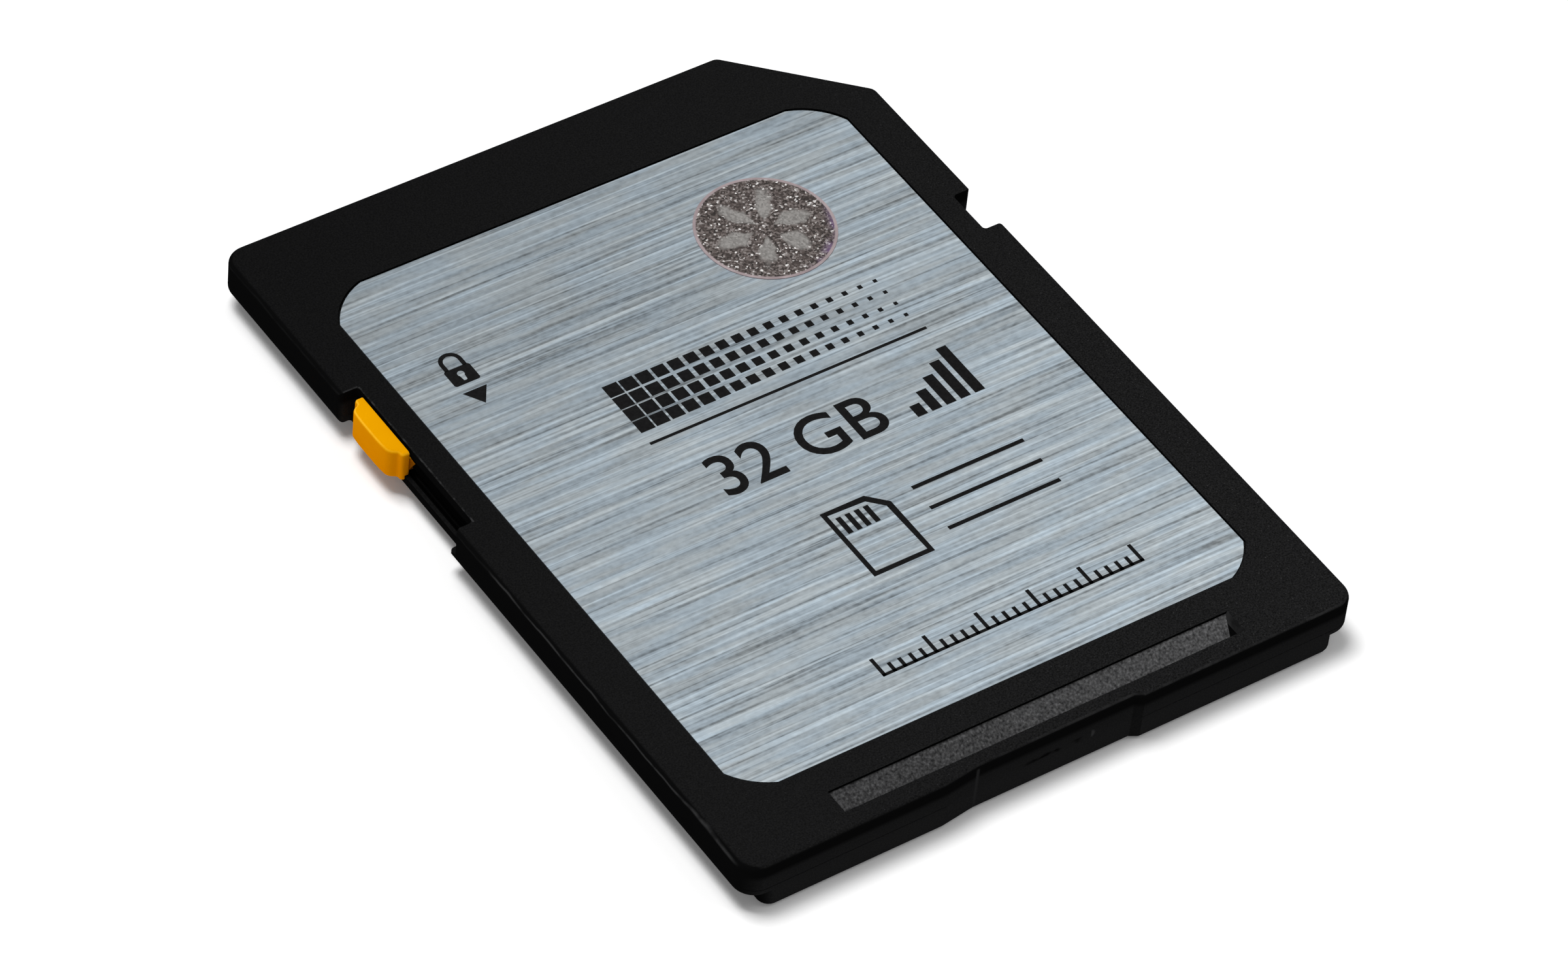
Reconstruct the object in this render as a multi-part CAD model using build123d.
from build123d import *
import os
from math import sqrt

# A full-size flash memory card, lying on its contact side. Sizes are in millimetres.
# X runs across the card, Y towards the contact end, Z up to the label side.

# Card outline
CARD_WIDTH = 24.0
CARD_LENGTH = 32.0
CARD_THICKNESS = 2.1
CORNER_RADIUS = 0.8
CORNER_CUT = 4.0
CUT_CORNER_RADIUS = 0.4
TOP_EDGE_RADIUS = 0.22
SEAM_CHAMFER = 0.02

# Guide rails along the two long sides, and the thicker middle between them
RAIL_THICKNESS = 1.4
RAIL_WIDTH = 0.75
RAIL_EDGE_RADIUS = 0.25
MIDDLE_EDGE_RADIUS = 0.25
MIDDLE_CORNER_RADIUS = 0.45

# Walls of the two shells
NOTCH_WALL = 0.22
FRONT_WALL = 0.7
REAR_WALL = 2.4
ROOF_THICKNESS = 0.35
FLOOR_THICKNESS = 0.35
FLOOR_RIB = 0.8
FLOOR_POCKET_COLUMNS = 2
FLOOR_POCKET_ROWS = 3

# Pins and bosses that locate the shells and the board
PIN_RADIUS = 0.6
PIN_HEIGHT = 0.5
PIN_INSET = 2.6
PIN_CLEARANCE = 0.05
BOSS_RADIUS = 0.6
BOSS_SETBACK = 5.0

# Circuit board and contact pads
BOARD_THICKNESS = 0.3
BOARD_CLEARANCE = 0.1
BOARD_GRIP = 0.3
PAD_THICKNESS = 0.05
PAD_LENGTH = 4.5
PAD_INSET = 0.15
PAD_CLEARANCE = 0.1
PAD_PAIR_GAP = 0.6
WINDOW_MARGIN = 0.45
WINDOW_RIB = 0.6
WINDOW_PAIR_EXTRA = 1.325
WINDOW_LEAD_IN = 0.2
ROW_LEFT_MARGIN = 1.1
ROW_RIGHT_MARGIN = 2.175
WINDOW_COUNT = 8

# Memory and controller packages
FLASH_WIDTH = 12.0
FLASH_MARGIN = 0.6
FLASH_GAP = 0.8
FLASH_STANDOFF = 0.04
LEAD_REACH = 0.8
LEAD_FOOT = 0.4
LEAD_PITCH = 0.5
LEAD_WIDTH = 0.2
LEAD_THICKNESS = 0.1
CONTROLLER_SIZE = 6.0
CONTROLLER_SETBACK = 2.9
CONTROLLER_OFFSET = 1.5
CHIP_HEADROOM = 0.08
DIMPLE_RADIUS = 0.4
DIMPLE_DEPTH = 0.05
DIMPLE_INSET = 1.0

# Chip capacitors and resistors
CHIP_PART_LENGTH = 1.0
CHIP_PART_WIDTH = 0.5
CHIP_PART_CAP = 0.25
CHIP_PART_STEP = 0.02
CAPACITOR_HEADROOM = 0.2
CAPACITOR_GAP = 1.4
CAPACITOR_PITCH = 3.6
RIGHT_CAPACITOR_COUNT = 3
LEFT_CAPACITOR_COUNT = 2
RESISTOR_HEIGHT = 0.35
RESISTOR_GAP = 0.9
RESISTOR_PITCH = 1.1
RESISTOR_COUNT = 4

# Label, in a shallow recess, and the round seal on it
LABEL_LEFT_MARGIN = 1.74
LABEL_RIGHT_MARGIN = 1.78
LABEL_FRONT_MARGIN = 3.49
LABEL_REAR_MARGIN = 2.85
LABEL_FRONT_TRIM_X = 1.65
LABEL_FRONT_TRIM_Y = 1.4
LABEL_REAR_TRIM_X = 1.3
LABEL_REAR_TRIM_Y = 1.15
LABEL_TRIM_RADIUS = 2.7
LABEL_THICKNESS = 0.06
LABEL_DROP = 0.04
LABEL_CLEARANCE = 0.05
SEAL_DIAMETER = 4.96
SEAL_THICKNESS = 0.03
SEAL_FROM_RIGHT = 5.49
SEAL_FROM_FRONT = 4.51

# Thumbnail groove across the rear, and the shallow hollow in the rear edge
GROOVE_LENGTH = 15.72
GROOVE_WIDTH = 0.98
GROOVE_SETBACK = 0.71
GROOVE_DEPTH = 0.7
GROOVE_LIP = 0.1
GROOVE_END_SLOPE = 0.4
HOLLOW_WIDTH = 6.15
HOLLOW_DEPTH = 0.17
HOLLOW_LEFT_RAMP = 1.3
HOLLOW_RIGHT_RAMP = 0.3

# Latch notch in the right rail
LATCH_NOTCH_SETBACK = 9.84
LATCH_NOTCH_LENGTH = 1.89
LATCH_NOTCH_DEPTH = 0.78

# Write-protect notch in the left rail
SWITCH_NOTCH_SETBACK = 7.7
SWITCH_NOTCH_LENGTH = 7.1
SWITCH_NOTCH_DEPTH = 0.7
SWITCH_LEDGE_INSET = 0.5
SWITCH_LEDGE_END = 0.25
SWITCH_LEDGE_DROP = 0.08
SWITCH_STRIP_HEIGHT = 0.7
CHANNEL_ROOF = 0.25
CHANNEL_OVERRUN = 0.6
CHANNEL_OVERLAP = 0.1
NOTCH_INNER_RADIUS = 0.15
NOTCH_OUTER_RADIUS = 0.2

# Write-protect slider
SLIDER_LENGTH = 3.1
SLIDER_PLATE = 0.29
SLIDER_WALL_GAP = 0.06
SLIDER_END_GAP = 0.35
SLIDER_DROP = 0.1
SLIDER_CLEARANCE = 0.03
SLIDER_END_RADIUS = 0.25
SLIDER_TOP_RADIUS = 0.18
SLIDER_BOTTOM_RADIUS = 0.1
GRIP_LENGTH = 2.29
GRIP_SETBACK = 0.51
GRIP_END_RADIUS = 0.3
WEB_OVERRUN = 0.15
FLANGE_OVERRUN = 0.4
FLANGE_THICKNESS = 0.32

# Heights and places that follow from these sizes
SIDE = CARD_WIDTH / 2
FRONT = CARD_LENGTH / 2
REAR = -CARD_LENGTH / 2
RAIL_Z = CARD_THICKNESS - RAIL_THICKNESS
BOARD_Z = RAIL_Z + PAD_THICKNESS
SEAM_Z = BOARD_Z + BOARD_THICKNESS
ROOF_Z = CARD_THICKNESS - ROOF_THICKNESS
LABEL_Z = CARD_THICKNESS - LABEL_DROP - LABEL_THICKNESS
SEAL_Z = LABEL_Z + LABEL_THICKNESS
SIDE_WALL = max(LATCH_NOTCH_DEPTH, SWITCH_NOTCH_DEPTH) + NOTCH_WALL
CUT_SLANT = sqrt(2)
CUT_LINE = SIDE + FRONT - CORNER_CUT
BOARD_SIDE = SIDE - SIDE_WALL - BOARD_CLEARANCE
BOARD_FRONT = FRONT - FRONT_WALL - BOARD_CLEARANCE
BOARD_REAR = REAR + REAR_WALL + BOARD_CLEARANCE
BOARD_CUT_LINE = CUT_LINE - (FRONT_WALL + BOARD_CLEARANCE) * CUT_SLANT
TOP_WALL_EXTRA = BOARD_CLEARANCE + BOARD_GRIP
ROW_LEFT = -SIDE + ROW_LEFT_MARGIN
ROW_RIGHT = SIDE - ROW_RIGHT_MARGIN
WINDOW_PITCH = (ROW_RIGHT - ROW_LEFT - WINDOW_PAIR_EXTRA + WINDOW_RIB) / WINDOW_COUNT
WINDOW_WIDTH = WINDOW_PITCH - WINDOW_RIB
PAD_FRONT = BOARD_FRONT - PAD_INSET
CORNER_PAD_RIGHT = ROW_RIGHT - PAD_CLEARANCE
CORNER_PAD_FRONT = min(PAD_FRONT, BOARD_CUT_LINE - CORNER_PAD_RIGHT - PAD_INSET * CUT_SLANT)
CORNER_WINDOW_REAR = CORNER_PAD_FRONT - PAD_LENGTH - WINDOW_MARGIN
CHIP_TOP_Z = ROOF_Z - CHIP_HEADROOM
CONTROLLER_REAR = BOARD_FRONT - CONTROLLER_SETBACK - CONTROLLER_SIZE
SWITCH_FRONT = FRONT - SWITCH_NOTCH_SETBACK
SWITCH_REAR = SWITCH_FRONT - SWITCH_NOTCH_LENGTH
SWITCH_WALL_X = -SIDE + SWITCH_NOTCH_DEPTH
SWITCH_LEDGE_Z = SEAM_Z - SWITCH_LEDGE_DROP
SLOT_Z = CARD_THICKNESS - SWITCH_STRIP_HEIGHT
CHANNEL_Z = CARD_THICKNESS - CHANNEL_ROOF
CHANNEL_X = -SIDE + SIDE_WALL
PAST = 1.0
ROUNDED_SHARE = 0.9
RAMP_OVERRUN = 1.1


def block(x, y, z):
    """A block between two limits along each axis."""
    middle = ((x[0] + x[1]) / 2, (y[0] + y[1]) / 2, (z[0] + z[1]) / 2)
    return Pos(*middle) * Box(x[1] - x[0], y[1] - y[0], z[1] - z[0])


def prism(outline, low, high):
    """A plan outline stood up between two heights."""
    return extrude(Pos(0, 0, low) * outline, high - low, dir=(0, 0, 1))


def round_corners(outline, radius, *points):
    """Rounds the corners of a flat outline that lie at the given points."""
    corners = [outline.vertices().sort_by_distance((x, y, 0))[0] for x, y in points]
    return fillet(corners, radius)


def card_outline():
    """Plan of the card: three rounded corners and one cut corner at the contact end."""
    square = [(-SIDE, FRONT), (-SIDE, REAR), (SIDE, REAR)]
    cut = [(SIDE, FRONT - CORNER_CUT), (SIDE - CORNER_CUT, FRONT)]
    outline = Polygon(*square, *cut, align=None)
    outline = round_corners(outline, CORNER_RADIUS, *square)
    return round_corners(outline, CUT_CORNER_RADIUS, *cut)


def inner_outline(side, front, rear):
    """Plan of a space inside the card, at set distances from its sides, front and rear."""
    x = SIDE - side
    y = FRONT - front
    cut_line = CUT_LINE - front * CUT_SLANT
    cut = [(x, cut_line - x), (cut_line - y, y)]
    return Polygon((-x, REAR + rear), (x, REAR + rear), *cut, (-x, y), align=None)


def notch_cutter(wall_x, outside_x, rear, front, low):
    """Cuts a notch into a rail, with rounded inner and outer corners."""
    past_x = outside_x + (PAST if outside_x > 0 else -PAST)
    mouth = [(outside_x, rear), (outside_x, front)]
    bottom = [(wall_x, front), (wall_x, rear)]
    front_end = [(outside_x, front + PAST), (past_x, front + PAST)]
    rear_end = [(past_x, rear - PAST), (outside_x, rear - PAST)]
    outline = Polygon(mouth[0], bottom[1], bottom[0], mouth[1], *front_end, *rear_end, align=None)
    room = ROUNDED_SHARE * abs(outside_x - wall_x) / (NOTCH_INNER_RADIUS + NOTCH_OUTER_RADIUS)
    outline = round_corners(outline, min(1, room) * NOTCH_INNER_RADIUS, *bottom)
    outline = round_corners(outline, min(1, room) * NOTCH_OUTER_RADIUS, *mouth)
    return prism(outline, low, CARD_THICKNESS + PAST)


def latch_notch():
    """Notch in the right rail, where a socket's latch holds the card."""
    front = FRONT - LATCH_NOTCH_SETBACK
    return notch_cutter(SIDE - LATCH_NOTCH_DEPTH, SIDE, front - LATCH_NOTCH_LENGTH, front, -PAST)


def hollow_section():
    """Section of the cut for the rear hollow, its floor rounded like the edge beside it."""
    floor = REAR + HOLLOW_DEPTH
    inside = floor + MIDDLE_EDGE_RADIUS + TOP_EDGE_RADIUS
    bottom = (floor, 0)
    top = (floor, CARD_THICKNESS)
    above = [(inside, CARD_THICKNESS), (inside, CARD_THICKNESS + PAST)]
    outside = [(REAR - PAST, CARD_THICKNESS + PAST), (REAR - PAST, -PAST)]
    below = [(inside, -PAST), (inside, 0)]
    section = Polygon(bottom, top, *above, *outside, *below, align=None)
    section = round_corners(section, MIDDLE_EDGE_RADIUS, bottom)
    return round_corners(section, TOP_EDGE_RADIUS, top)


def rear_hollow():
    """Shallow hollow in the rear edge, with a long ramp at its left end and a short one at its right."""
    section = Plane.YZ * hollow_section()
    half = HOLLOW_WIDTH / 2
    cutter = extrude(section, half, both=True)
    for x, ramp in ((-half, -HOLLOW_LEFT_RAMP), (half, HOLLOW_RIGHT_RAMP)):
        way = RAMP_OVERRUN * Vector(ramp, -HOLLOW_DEPTH, 0)
        cutter += Solid.extrude((Pos(x, 0, 0) * section).face(), way)
    return cutter


def thumb_groove():
    """Groove for a thumbnail: a ramp that falls to a steep rear wall, with sloped ends."""
    rear = REAR + GROOVE_SETBACK
    front = rear + GROOVE_WIDTH
    top = CARD_THICKNESS
    floor = top - GROOVE_DEPTH
    half = GROOVE_LENGTH / 2
    slope = [(rear, floor), (front, top - GROOVE_LIP)]
    ramp = Polygon(*slope, (front, top + PAST), (rear, top + PAST), align=None)
    ends = Polygon(
        (-half, top + PAST),
        (-half, top),
        (-half + GROOVE_END_SLOPE, floor),
        (half - GROOVE_END_SLOPE, floor),
        (half, top),
        (half, top + PAST),
        align=None,
    )
    across = extrude(Plane.YZ * ramp, half + PAST, both=True)
    along = extrude(Plane.XZ * ends, CARD_LENGTH, both=True)
    return across & along


def label_outline(grow):
    """Plan of the label, its corners trimmed by shallow arcs, grown all round by a clearance."""
    left = -SIDE + LABEL_LEFT_MARGIN - grow
    right = SIDE - LABEL_RIGHT_MARGIN + grow
    rear = REAR + LABEL_REAR_MARGIN - grow
    front = FRONT - LABEL_FRONT_MARGIN + grow
    corners = [
        ((left, front - LABEL_FRONT_TRIM_Y), (left + LABEL_FRONT_TRIM_X, front)),
        ((right - LABEL_FRONT_TRIM_X, front), (right, front - LABEL_FRONT_TRIM_Y)),
        ((right, rear + LABEL_REAR_TRIM_Y), (right - LABEL_REAR_TRIM_X, rear)),
        ((left + LABEL_REAR_TRIM_X, rear), (left, rear + LABEL_REAR_TRIM_Y)),
    ]
    edges = []
    for number, (start, end) in enumerate(corners):
        edges.append(RadiusArc(start, end, LABEL_TRIM_RADIUS))
        edges.append(Line(end, corners[(number + 1) % len(corners)][0]))
    return make_face(edges)


def pin_places():
    """Centres of the two pins in the solid rear of the card."""
    return [(side * (SIDE - PIN_INSET), REAR + REAR_WALL / 2) for side in (-1, 1)]


def boss_places():
    """Centres of the half-round bosses on the side walls of the board's pocket."""
    return [(side * (SIDE - SIDE_WALL), BOARD_REAR + BOSS_SETBACK) for side in (-1, 1)]


def round_post(place, radius, low, high):
    """An upright post at a place on the plan."""
    return Pos(place[0], place[1], (low + high) / 2) * Cylinder(radius, high - low)


def contact_windows():
    """Limits along X of the windows, from the pair's window on the left to the corner window."""
    windows = [(ROW_LEFT, ROW_LEFT + WINDOW_WIDTH + WINDOW_PAIR_EXTRA)]
    for _ in range(WINDOW_COUNT - 1):
        left = windows[-1][1] + WINDOW_RIB
        windows.append((left, left + WINDOW_WIDTH))
    return windows


def contact_pads():
    """Limits of each pad along X and Y, in the order of the pad numbers."""
    windows = contact_windows()
    pair_left = windows[0][0] + PAD_CLEARANCE
    pair_right = windows[0][1] - PAD_CLEARANCE
    narrow = (pair_right - pair_left - PAD_PAIR_GAP) / 2
    rear = PAD_FRONT - PAD_LENGTH
    pads = [((w[0] + PAD_CLEARANCE, w[1] - PAD_CLEARANCE), (rear, PAD_FRONT)) for w in windows[-2:0:-1]]
    pads.append(((pair_right - narrow, pair_right), (rear, PAD_FRONT)))
    pads.append(((pair_left, pair_left + narrow), (rear, PAD_FRONT)))
    corner = windows[-1]
    corner_rear = CORNER_PAD_FRONT - PAD_LENGTH
    pads.append(((corner[0] + PAD_CLEARANCE, corner[1] - PAD_CLEARANCE), (corner_rear, CORNER_PAD_FRONT)))
    return pads


def window_cutters():
    """Cuts the contact windows through the floor, open to the front, with a lead-in at the edge."""
    rear = PAD_FRONT - PAD_LENGTH - WINDOW_MARGIN
    lead_in = Polygon(
        (rear, -PAST),
        (rear, RAIL_Z),
        (FRONT - WINDOW_LEAD_IN, RAIL_Z),
        (FRONT, RAIL_Z + WINDOW_LEAD_IN),
        (FRONT + PAST, RAIL_Z + WINDOW_LEAD_IN),
        (FRONT + PAST, -PAST),
        align=None,
    )
    windows = contact_windows()
    cutters = []
    for left, right in windows[:-1]:
        cutters.append(Pos(left, 0, 0) * extrude(Plane.YZ * lead_in, right - left, dir=(1, 0, 0)))
        cutters.append(block((left, right), (rear, PAD_FRONT + PAD_CLEARANCE), (0, BOARD_Z + PAST)))
    corner = windows[-1]
    corner_front = CORNER_PAD_FRONT + PAD_CLEARANCE
    cutters.append(block(corner, (CORNER_WINDOW_REAR, FRONT + PAST), (-PAST, RAIL_Z)))
    cutters.append(block(corner, (CORNER_WINDOW_REAR, corner_front), (0, BOARD_Z + PAST)))
    return cutters


def floor_pockets():
    """Cuts pockets into the floor, between the ribs that the board rests on."""
    left = -BOARD_SIDE + FLOOR_RIB
    rear = BOARD_REAR + FLOOR_RIB
    width = (-2 * left - (FLOOR_POCKET_COLUMNS - 1) * FLOOR_RIB) / FLOOR_POCKET_COLUMNS
    room = CORNER_WINDOW_REAR - FLOOR_RIB - rear
    length = (room - (FLOOR_POCKET_ROWS - 1) * FLOOR_RIB) / FLOOR_POCKET_ROWS
    pockets = []
    for column in range(FLOOR_POCKET_COLUMNS):
        for row in range(FLOOR_POCKET_ROWS):
            x = left + column * (width + FLOOR_RIB)
            y = rear + row * (length + FLOOR_RIB)
            pockets.append(block((x, x + width), (y, y + length), (FLOOR_THICKNESS, BOARD_Z + PAST)))
    return pockets


def rail_plate():
    """Full-width layer of the lower half, whose sides are the guide rails."""
    plate = prism(card_outline(), RAIL_Z, SEAM_Z)
    plate = chamfer(plate.faces().sort_by(Axis.Z)[-1].edges(), SEAM_CHAMFER)
    return fillet(plate.faces().sort_by(Axis.Z)[0].edges(), RAIL_EDGE_RADIUS)


def middle_plate():
    """Thick middle of the lower half, between the guide rails."""
    x = SIDE - RAIL_WIDTH
    square = [(-x, FRONT), (-x, REAR), (x, REAR)]
    cut = [(x, CUT_LINE - x), (CUT_LINE - FRONT, FRONT)]
    outline = Polygon(*square, *cut, align=None)
    outline = round_corners(outline, MIDDLE_CORNER_RADIUS, *square)
    outline = round_corners(outline, CUT_CORNER_RADIUS, *cut)
    high = SEAM_Z - SEAM_CHAMFER
    plate = prism(outline, 0, high)
    plate = fillet(plate.faces().sort_by(Axis.Z)[0].edges(), MIDDLE_EDGE_RADIUS)
    return plate & prism(card_outline(), -PAST, high)


def top_shell():
    """Label-side shell: label recess, thumb groove, notches and the slider's channel."""
    shell = prism(card_outline(), SEAM_Z, CARD_THICKNESS)
    shell = fillet(shell.faces().sort_by(Axis.Z)[-1].edges(), TOP_EDGE_RADIUS)
    shell = chamfer(shell.faces().sort_by(Axis.Z)[0].edges(), SEAM_CHAMFER)
    cavity = inner_outline(*(wall + TOP_WALL_EXTRA for wall in (SIDE_WALL, FRONT_WALL, REAR_WALL)))
    shell -= prism(cavity, SEAM_Z - PAST, ROOF_Z)
    shell -= prism(label_outline(LABEL_CLEARANCE), LABEL_Z, CARD_THICKNESS + PAST)
    shell -= thumb_groove()
    shell -= rear_hollow()
    shell -= latch_notch()
    shell -= notch_cutter(SWITCH_WALL_X, -SIDE, SWITCH_REAR, SWITCH_FRONT, SEAM_Z - PAST)
    slot_x = (SWITCH_WALL_X - SLIDER_WALL_GAP, CHANNEL_X + SLIDER_CLEARANCE)
    shell -= block(slot_x, (SWITCH_REAR, SWITCH_FRONT), (SEAM_Z - PAST, SLOT_Z))
    channel_y = (SWITCH_REAR - CHANNEL_OVERRUN, SWITCH_FRONT + CHANNEL_OVERRUN)
    channel_x = (CHANNEL_X, CHANNEL_X + TOP_WALL_EXTRA + CHANNEL_OVERLAP)
    shell -= block(channel_x, channel_y, (SEAM_Z - PAST, CHANNEL_Z))
    hole_top = SEAM_Z + PIN_HEIGHT + PIN_CLEARANCE
    for place in pin_places():
        shell -= round_post(place, PIN_RADIUS + PIN_CLEARANCE, SEAM_Z - PAST, hole_top)
    return shell


def bottom_shell():
    """Contact-side shell: rails, ribbed floor, contact windows and the slider's ledge."""
    shell = rail_plate() + middle_plate()
    shell -= prism(inner_outline(SIDE_WALL, FRONT_WALL, REAR_WALL), BOARD_Z, SEAM_Z + PAST)
    for place in boss_places():
        shell += round_post(place, BOSS_RADIUS, BOARD_Z, SEAM_Z)
    for cutter in floor_pockets() + window_cutters():
        shell -= cutter
    for place in pin_places():
        shell += round_post(place, PIN_RADIUS, SEAM_Z - PIN_HEIGHT, SEAM_Z + PIN_HEIGHT)
    shell -= rear_hollow()
    shell -= latch_notch()
    ledge_x = -SIDE + SWITCH_LEDGE_INSET
    shell -= notch_cutter(ledge_x, -SIDE, SWITCH_REAR + SWITCH_LEDGE_END, SWITCH_FRONT, -PAST)
    ledge_y = (SWITCH_REAR, SWITCH_FRONT)
    shell -= block((-SIDE - PAST, SWITCH_WALL_X), ledge_y, (SWITCH_LEDGE_Z, SEAM_Z + PAST))
    return shell


def circuit_board():
    """Thin board that fills the pocket, notched for the two bosses."""
    outline = inner_outline(*(wall + BOARD_CLEARANCE for wall in (SIDE_WALL, FRONT_WALL, REAR_WALL)))
    board = prism(outline, BOARD_Z, SEAM_Z)
    for place in boss_places():
        board -= round_post(place, BOSS_RADIUS + BOARD_CLEARANCE, BOARD_Z - PAST, SEAM_Z + PAST)
    return board


def contact_pad(limits):
    """Gold-plated pad on the underside of the board."""
    return block(*limits, (RAIL_Z, BOARD_Z))


def chip_body(x, y, low):
    """Moulded package with a dimple that marks its first corner."""
    body = block(x, y, (low, CHIP_TOP_Z))
    corner = (x[0] + DIMPLE_INSET, y[1] - DIMPLE_INSET)
    return body - round_post(corner, DIMPLE_RADIUS, CHIP_TOP_Z - DIMPLE_DEPTH, CHIP_TOP_Z + PAST)


def flash_limits():
    """Limits along Y of the memory package's body, inside the reach of its leads."""
    rear = BOARD_REAR + FLASH_MARGIN + LEAD_REACH
    front = CONTROLLER_REAR - FLASH_GAP - LEAD_REACH
    return rear, front


def flash_chip():
    """Memory package, carried a little above the board by its leads."""
    return chip_body((-FLASH_WIDTH / 2, FLASH_WIDTH / 2), flash_limits(), SEAM_Z + FLASH_STANDOFF)


def flash_lead(end_y, way):
    """One gull-wing lead: out of the body, down, and along the board."""
    shoulder = (SEAM_Z + FLASH_STANDOFF + CHIP_TOP_Z) / 2
    knee = end_y + way * (LEAD_REACH - LEAD_FOOT)
    tip = end_y + way * LEAD_REACH
    thick = LEAD_THICKNESS
    section = Polygon(
        (end_y, shoulder),
        (end_y, shoulder - thick),
        (knee - way * thick, shoulder - thick),
        (knee - way * thick, SEAM_Z),
        (tip, SEAM_Z),
        (tip, SEAM_Z + thick),
        (knee, SEAM_Z + thick),
        (knee, shoulder),
        align=None,
    )
    return extrude(Plane.YZ * section, LEAD_WIDTH / 2, both=True)


def flash_leads():
    """The two rows of leads at the ends of the memory package."""
    count = int(FLASH_WIDTH / LEAD_PITCH)
    rear, front = flash_limits()
    leads = []
    for end_y, way in ((rear, -1), (front, 1)):
        lead = flash_lead(end_y, way)
        for number in range(count):
            leads.append(Pos((number - (count - 1) / 2) * LEAD_PITCH, 0, 0) * lead)
    return Compound(children=leads)


def controller_chip():
    """Controller package, flat on the board between the memory and the contacts."""
    x = (CONTROLLER_OFFSET - CONTROLLER_SIZE / 2, CONTROLLER_OFFSET + CONTROLLER_SIZE / 2)
    return chip_body(x, (CONTROLLER_REAR, CONTROLLER_REAR + CONTROLLER_SIZE), SEAM_Z)


def chip_part(x, y, height):
    """Capacitor or resistor: a block with a slightly larger metal cap on each end."""
    half_width = CHIP_PART_WIDTH / 2
    half_length = CHIP_PART_LENGTH / 2
    side = half_width - CHIP_PART_STEP
    top = SEAM_Z + height - CHIP_PART_STEP
    part = block((x - side, x + side), (y - half_length, y + half_length), (SEAM_Z, top))
    for low in (-half_length, half_length - CHIP_PART_CAP):
        cap_y = (y + low, y + low + CHIP_PART_CAP)
        part += block((x - half_width, x + half_width), cap_y, (SEAM_Z, SEAM_Z + height))
    return part


def capacitors():
    """Capacitors in two rows beside the memory package."""
    height = ROOF_Z - SEAM_Z - CAPACITOR_HEADROOM
    rear, front = flash_limits()
    parts = []
    for side, count in ((1, RIGHT_CAPACITOR_COUNT), (-1, LEFT_CAPACITOR_COUNT)):
        x = side * (FLASH_WIDTH / 2 + CAPACITOR_GAP)
        for number in range(count):
            y = (rear + front) / 2 + (number - (count - 1) / 2) * CAPACITOR_PITCH
            parts.append(chip_part(x, y, height))
    return parts


def resistors():
    """Resistors in a row beside the controller."""
    first = CONTROLLER_OFFSET - CONTROLLER_SIZE / 2 - RESISTOR_GAP
    y = CONTROLLER_REAR + CONTROLLER_SIZE / 2
    places = [first - number * RESISTOR_PITCH for number in range(RESISTOR_COUNT)]
    return [chip_part(x, y, RESISTOR_HEIGHT) for x in places]


def label():
    """Thin printed plate in the recess of the top shell."""
    return prism(label_outline(0), LABEL_Z, SEAL_Z)


def seal_disc():
    """Thin round foil seal on the label."""
    place = (SIDE - LABEL_RIGHT_MARGIN - SEAL_FROM_RIGHT, FRONT - LABEL_FRONT_MARGIN - SEAL_FROM_FRONT)
    return round_post(place, SEAL_DIAMETER / 2, SEAL_Z, SEAL_Z + SEAL_THICKNESS)


def write_protect_slider():
    """Slider with an outer grip, and a web through the slot to a flange that keeps it in."""
    front = SWITCH_FRONT - SLIDER_END_GAP
    rear = front - SLIDER_LENGTH
    inner = SWITCH_WALL_X - SLIDER_WALL_GAP
    outer = inner - SLIDER_PLATE
    grip_front = front - GRIP_SETBACK
    ends = [(outer, rear), (outer, front)]
    grip = [(-SIDE, grip_front - GRIP_LENGTH), (-SIDE, grip_front)]
    outline = Polygon((inner, front), (inner, rear), ends[0], *grip, ends[1], align=None)
    outline = round_corners(outline, SLIDER_END_RADIUS, *ends)
    outline = round_corners(outline, GRIP_END_RADIUS, *grip)
    tab = prism(outline, SWITCH_LEDGE_Z + SLIDER_CLEARANCE, CARD_THICKNESS - SLIDER_DROP)
    tab = fillet(tab.faces().sort_by(Axis.Z)[-1].edges().sort_by(Axis.X)[:-1], SLIDER_TOP_RADIUS)
    tab = fillet(tab.faces().sort_by(Axis.Z)[0].edges().sort_by(Axis.X)[:-1], SLIDER_BOTTOM_RADIUS)
    low = SEAM_Z + SLIDER_CLEARANCE
    flange_x = CHANNEL_X + SLIDER_CLEARANCE
    tab += block((inner, flange_x), (rear - WEB_OVERRUN, front), (low, SLOT_Z - SLIDER_CLEARANCE))
    flange_y = (rear - FLANGE_OVERRUN, front + FLANGE_OVERRUN)
    tab += block((flange_x, flange_x + FLANGE_THICKNESS), flange_y, (low, CHANNEL_Z - SLIDER_CLEARANCE))
    return tab


parts = {
    "bottom_shell": bottom_shell(),
    "circuit_board": circuit_board(),
    "flash_chip": flash_chip(),
    "flash_leads": flash_leads(),
    "controller_chip": controller_chip(),
    "write_protect_slider": write_protect_slider(),
    "top_shell": top_shell(),
    "label": label(),
    "seal_disc": seal_disc(),
}
for number, limits in enumerate(contact_pads(), 1):
    parts[f"contact_pad_{number}"] = contact_pad(limits)
for number, piece in enumerate(capacitors(), 1):
    parts[f"capacitor_{number}"] = piece
for number, piece in enumerate(resistors(), 1):
    parts[f"resistor_{number}"] = piece

os.makedirs("parts", exist_ok=True)
for name, piece in parts.items():
    export_step(piece, os.path.join("parts", f"{name}.step"))
